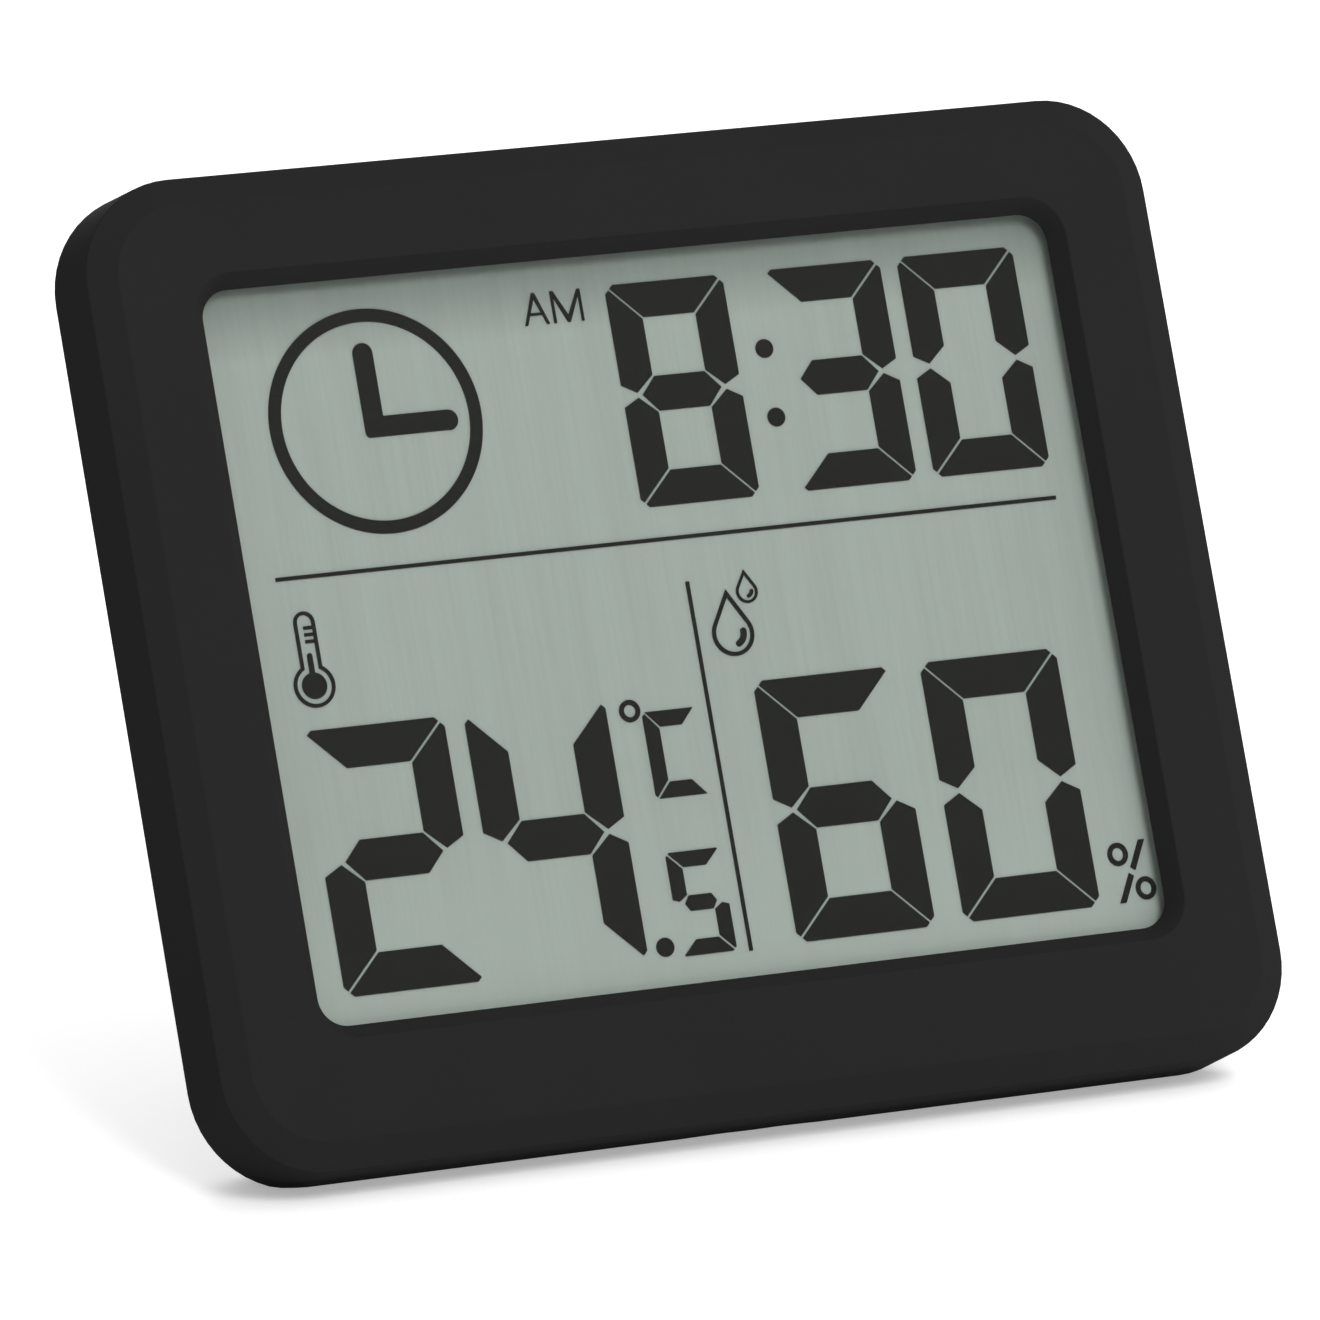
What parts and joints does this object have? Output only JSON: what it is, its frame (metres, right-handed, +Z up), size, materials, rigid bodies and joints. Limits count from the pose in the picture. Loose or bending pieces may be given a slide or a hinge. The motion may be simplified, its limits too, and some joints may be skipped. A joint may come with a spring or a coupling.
{
  "type": "digital thermometer",
  "caption": "Slim black desk thermometer, hygrometer and clock with a large segment display, leaning on a fold-out stand, with a coin cell door, buttons and a wall keyhole.",
  "frame": {"origin": "on the table, under the middle of the box that holds the leaning body and its opened stand", "axes": "+X to the right of someone reading it, +Y away from them, +Z up"},
  "size_m": [0.08, 0.0376, 0.065],
  "materials": {
    "black_casing": "fine moulded texture",
    "black_stand": "fine moulded texture",
    "polariser_film": "clear matt film",
    "display_glass": "clear",
    "seal_resin": "satin",
    "dark_segments": "flat",
    "grey_green_reflector": "finely brushed",
    "pale_plastic": "satin",
    "striped_rubber": "satin",
    "board_laminate": "solder mask",
    "black_resin": "gloss",
    "nickel_can": "drawn",
    "sensor_body": "satin",
    "chip_ceramic": "fired",
    "switch_metal": "stamped",
    "plunger_plastic": "moulded",
    "button_plastic": "moulded",
    "cell_steel": "drawn stainless",
    "gasket_plastic": "moulded",
    "contact_metal": "nickel plated",
    "screw_steel": "zinc plated"
  },
  "bodies": {
    "casing": {"front_casing": "black_casing", "rear_cover": "black_casing", "front_polariser": "polariser_film", "front_glass": "display_glass", "display_seal": "seal_resin", "time_digits": "dark_segments", "temperature_digits": "dark_segments", "humidity_digits": "dark_segments", "display_rules": "dark_segments", "rear_glass": "display_glass", "rear_polariser": "grey_green_reflector", "display_holder": "pale_plastic", "elastomer_connector": "striped_rubber", "circuit_board": "board_laminate", "controller_blob": "black_resin", "crystal": "nickel_can", "climate_sensor": "sensor_body", "chip_parts": "chip_ceramic", "tact_switches": "switch_metal", "coin_cell_can": "cell_steel", "coin_cell_gasket": "gasket_plastic", "coin_cell_cap": "cell_steel", "negative_contact": "contact_metal", "positive_contact": "contact_metal", "case_screws": "screw_steel", "board_screws": "screw_steel"},
    "stand": {"kick_stand": "black_stand"},
    "door": {"battery_door": "black_casing"},
    "top_button": {"button_top": "button_plastic", "plunger_top": "plunger_plastic"},
    "middle_button": {"button_middle": "button_plastic", "plunger_middle": "plunger_plastic"},
    "bottom_button": {"button_bottom": "button_plastic", "plunger_bottom": "plunger_plastic"}
  },
  "joints": [
    {"name": "stand_fold", "type": "hinge", "parent": "casing", "child": "stand", "pos_m": [0, 0.00753, 0.0415], "axis": [1, 0, 0], "range_deg": [-38, 0]},
    {"name": "door_turn", "type": "hinge", "parent": "casing", "child": "door", "pos_m": [-0.0244, -0.00032, 0.02037], "axis": [0, 0.9158, -0.4017], "range_deg": [0, 40]},
    {"name": "bottom_button_press", "type": "slide", "parent": "casing", "child": "bottom_button", "axis": [0, -0.9158, 0.4017], "range_m": [0, 0.00035], "stiffness_N_per_m": 3000, "springref_m": -0.0001},
    {"name": "middle_button_press", "type": "slide", "parent": "casing", "child": "middle_button", "axis": [0, -0.9158, 0.4017], "range_m": [0, 0.00035], "stiffness_N_per_m": 3000, "springref_m": -0.0001},
    {"name": "top_button_press", "type": "slide", "parent": "casing", "child": "top_button", "axis": [0, -0.9158, 0.4017], "range_m": [0, 0.00035], "stiffness_N_per_m": 3000, "springref_m": -0.0001}
  ]
}
